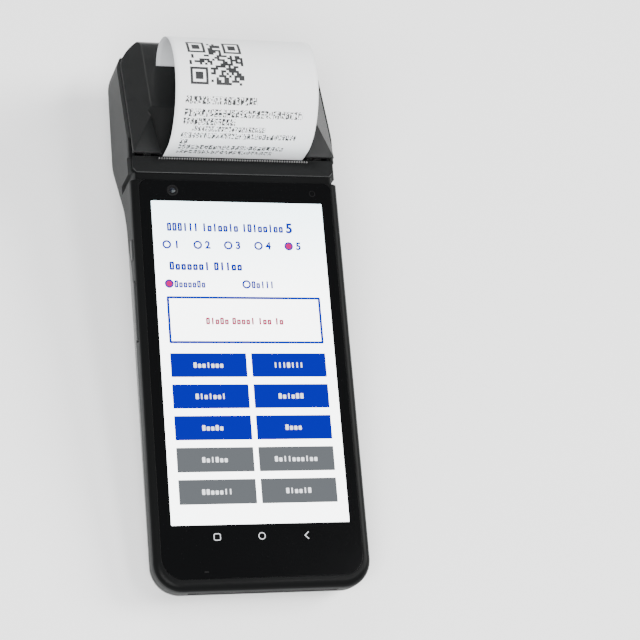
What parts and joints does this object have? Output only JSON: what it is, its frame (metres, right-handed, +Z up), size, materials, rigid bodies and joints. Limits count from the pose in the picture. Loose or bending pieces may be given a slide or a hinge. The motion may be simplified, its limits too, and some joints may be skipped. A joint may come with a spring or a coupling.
{
  "type": "handheld payment terminal",
  "caption": "Handheld payment terminal with a touch display, a receipt printer under a hinged lid in the raised head, side keys, a card slot and a removable back cover",
  "frame": {"origin": "On the table under the middle of the terminal's bounding box, where it rests on its heel and on the low edge of the head's pad", "axes": "+Z up, +Y from the bottom end to the printer head, +X to the right seen from above with the head away; the screen faces up and leans to the user by about 9.5 degrees"},
  "size_m": [0.0835, 0.226, 0.0764],
  "materials": {
    "front_shell": "fine-textured satin near-black plastic",
    "rear_shell": "satin mid-grey plastic",
    "lid_shell": "satin near-black plastic",
    "cover_glass": "polished deep black laminated glass",
    "display": "lit display panel",
    "paper": "thin thermal paper",
    "steel": "bright cold-rolled steel",
    "dark_steel": "black oxide steel",
    "aluminium": "extruded aluminium",
    "gold": "gold-plated contacts",
    "rubber": "ground silicone rubber",
    "inner_plastic": "moulded black plastic",
    "gear_plastic": "natural white acetal",
    "ceramic": "glazed ceramic heating bar",
    "board": "green solder-masked laminate",
    "battery": "wrapped cell pack",
    "card": "grey-brown cardboard tube",
    "window": "polished black camera window",
    "lens": "coated lens",
    "flash": "pale diffusing plastic"
  },
  "bodies": {
    "case": {"front_housing": "front_shell", "rear_housing": "rear_shell", "touch_glass": "cover_glass", "display_panel": "display", "front_camera": "lens", "tear_bar": "lid_shell", "tear_blade": "steel", "back_panel": "rear_shell", "camera_window": "window", "camera_lens": "lens", "flash_lens": "flash", "charge_contacts": "gold", "housing_screws": "dark_steel", "lid_hinge_pin": "steel", "idler_axle": "steel", "stepper_motor": "steel", "print_head": "ceramic", "heat_sink": "aluminium", "head_springs": "steel", "printer_chassis": "steel", "paper_cradle": "inner_plastic", "paper_web": "paper", "main_board": "board", "board_screws": "dark_steel", "board_shield": "steel", "card_reader": "inner_plastic", "battery_pack": "battery", "battery_contacts": "inner_plastic", "contact_carrier": "inner_plastic", "speaker": "inner_plastic", "camera_module": "inner_plastic", "power_switch": "inner_plastic", "rocker_switches": "inner_plastic"},
    "lid": {"printer_lid": "lid_shell", "platen_bushes": "gear_plastic", "receipt_strip": "paper"},
    "platen": {"platen_shaft": "steel", "platen_rubber": "rubber", "platen_gear": "gear_plastic"},
    "idler": {"idler_gear": "gear_plastic"},
    "motor_rotor": {"motor_pinion": "gold", "motor_shaft": "steel"},
    "roll": {"paper_roll": "paper", "roll_core": "card"},
    "power_button": {"power_key": "inner_plastic"},
    "rocker": {"volume_rocker": "inner_plastic"},
    "cover": {"battery_cover": "rear_shell"}
  },
  "joints": [
    {"name": "lid_hinge", "type": "hinge", "parent": "case", "child": "lid", "pos_m": [0, 0.10675, 0.03621], "axis": [-1, 0, 0], "range_deg": [0, 95]},
    {"name": "roll_spin", "type": "hinge", "parent": "case", "child": "roll", "pos_m": [0, 0.08676, 0.0278], "axis": [1, 0, 0], "continuous": true},
    {"name": "platen_spin", "type": "hinge", "parent": "lid", "child": "platen", "pos_m": [0, 0.06057, 0.03556], "axis": [1, 0, 0], "continuous": true},
    {"name": "idler_spin", "type": "hinge", "parent": "case", "child": "idler", "pos_m": [0.0357, 0.06404, 0.0246], "axis": [1, 0, 0], "continuous": true},
    {"name": "motor_spin", "type": "hinge", "parent": "case", "child": "motor_rotor", "pos_m": [0.0357, 0.05628, 0.01913], "axis": [1, 0, 0], "continuous": true},
    {"name": "power_press", "type": "slide", "parent": "case", "child": "power_button", "axis": [1, 0, 0], "range_m": [0, 0.0004], "stiffness_N_per_m": 1500, "springref_m": -0.0002},
    {"name": "rocker_tilt", "type": "hinge", "parent": "case", "child": "rocker", "pos_m": [-0.0393, -0.00626, 0.02921], "axis": [0, -0.1656, 0.9862], "range_deg": [-1.5, 1.5], "stiffness_Nm_per_rad": 0.1},
    {"name": "cover_hinge", "type": "hinge", "parent": "case", "child": "cover", "pos_m": [0, 0.02611, 0.01764], "axis": [1, 0, 0], "range_deg": [0, 40]}
  ],
  "couplings": [
    {"joint": "platen_spin", "follows": "roll_spin", "ratio": 4},
    {"joint": "idler_spin", "follows": "roll_spin", "ratio": -2.5714},
    {"joint": "motor_spin", "follows": "roll_spin", "ratio": 7.2}
  ]
}
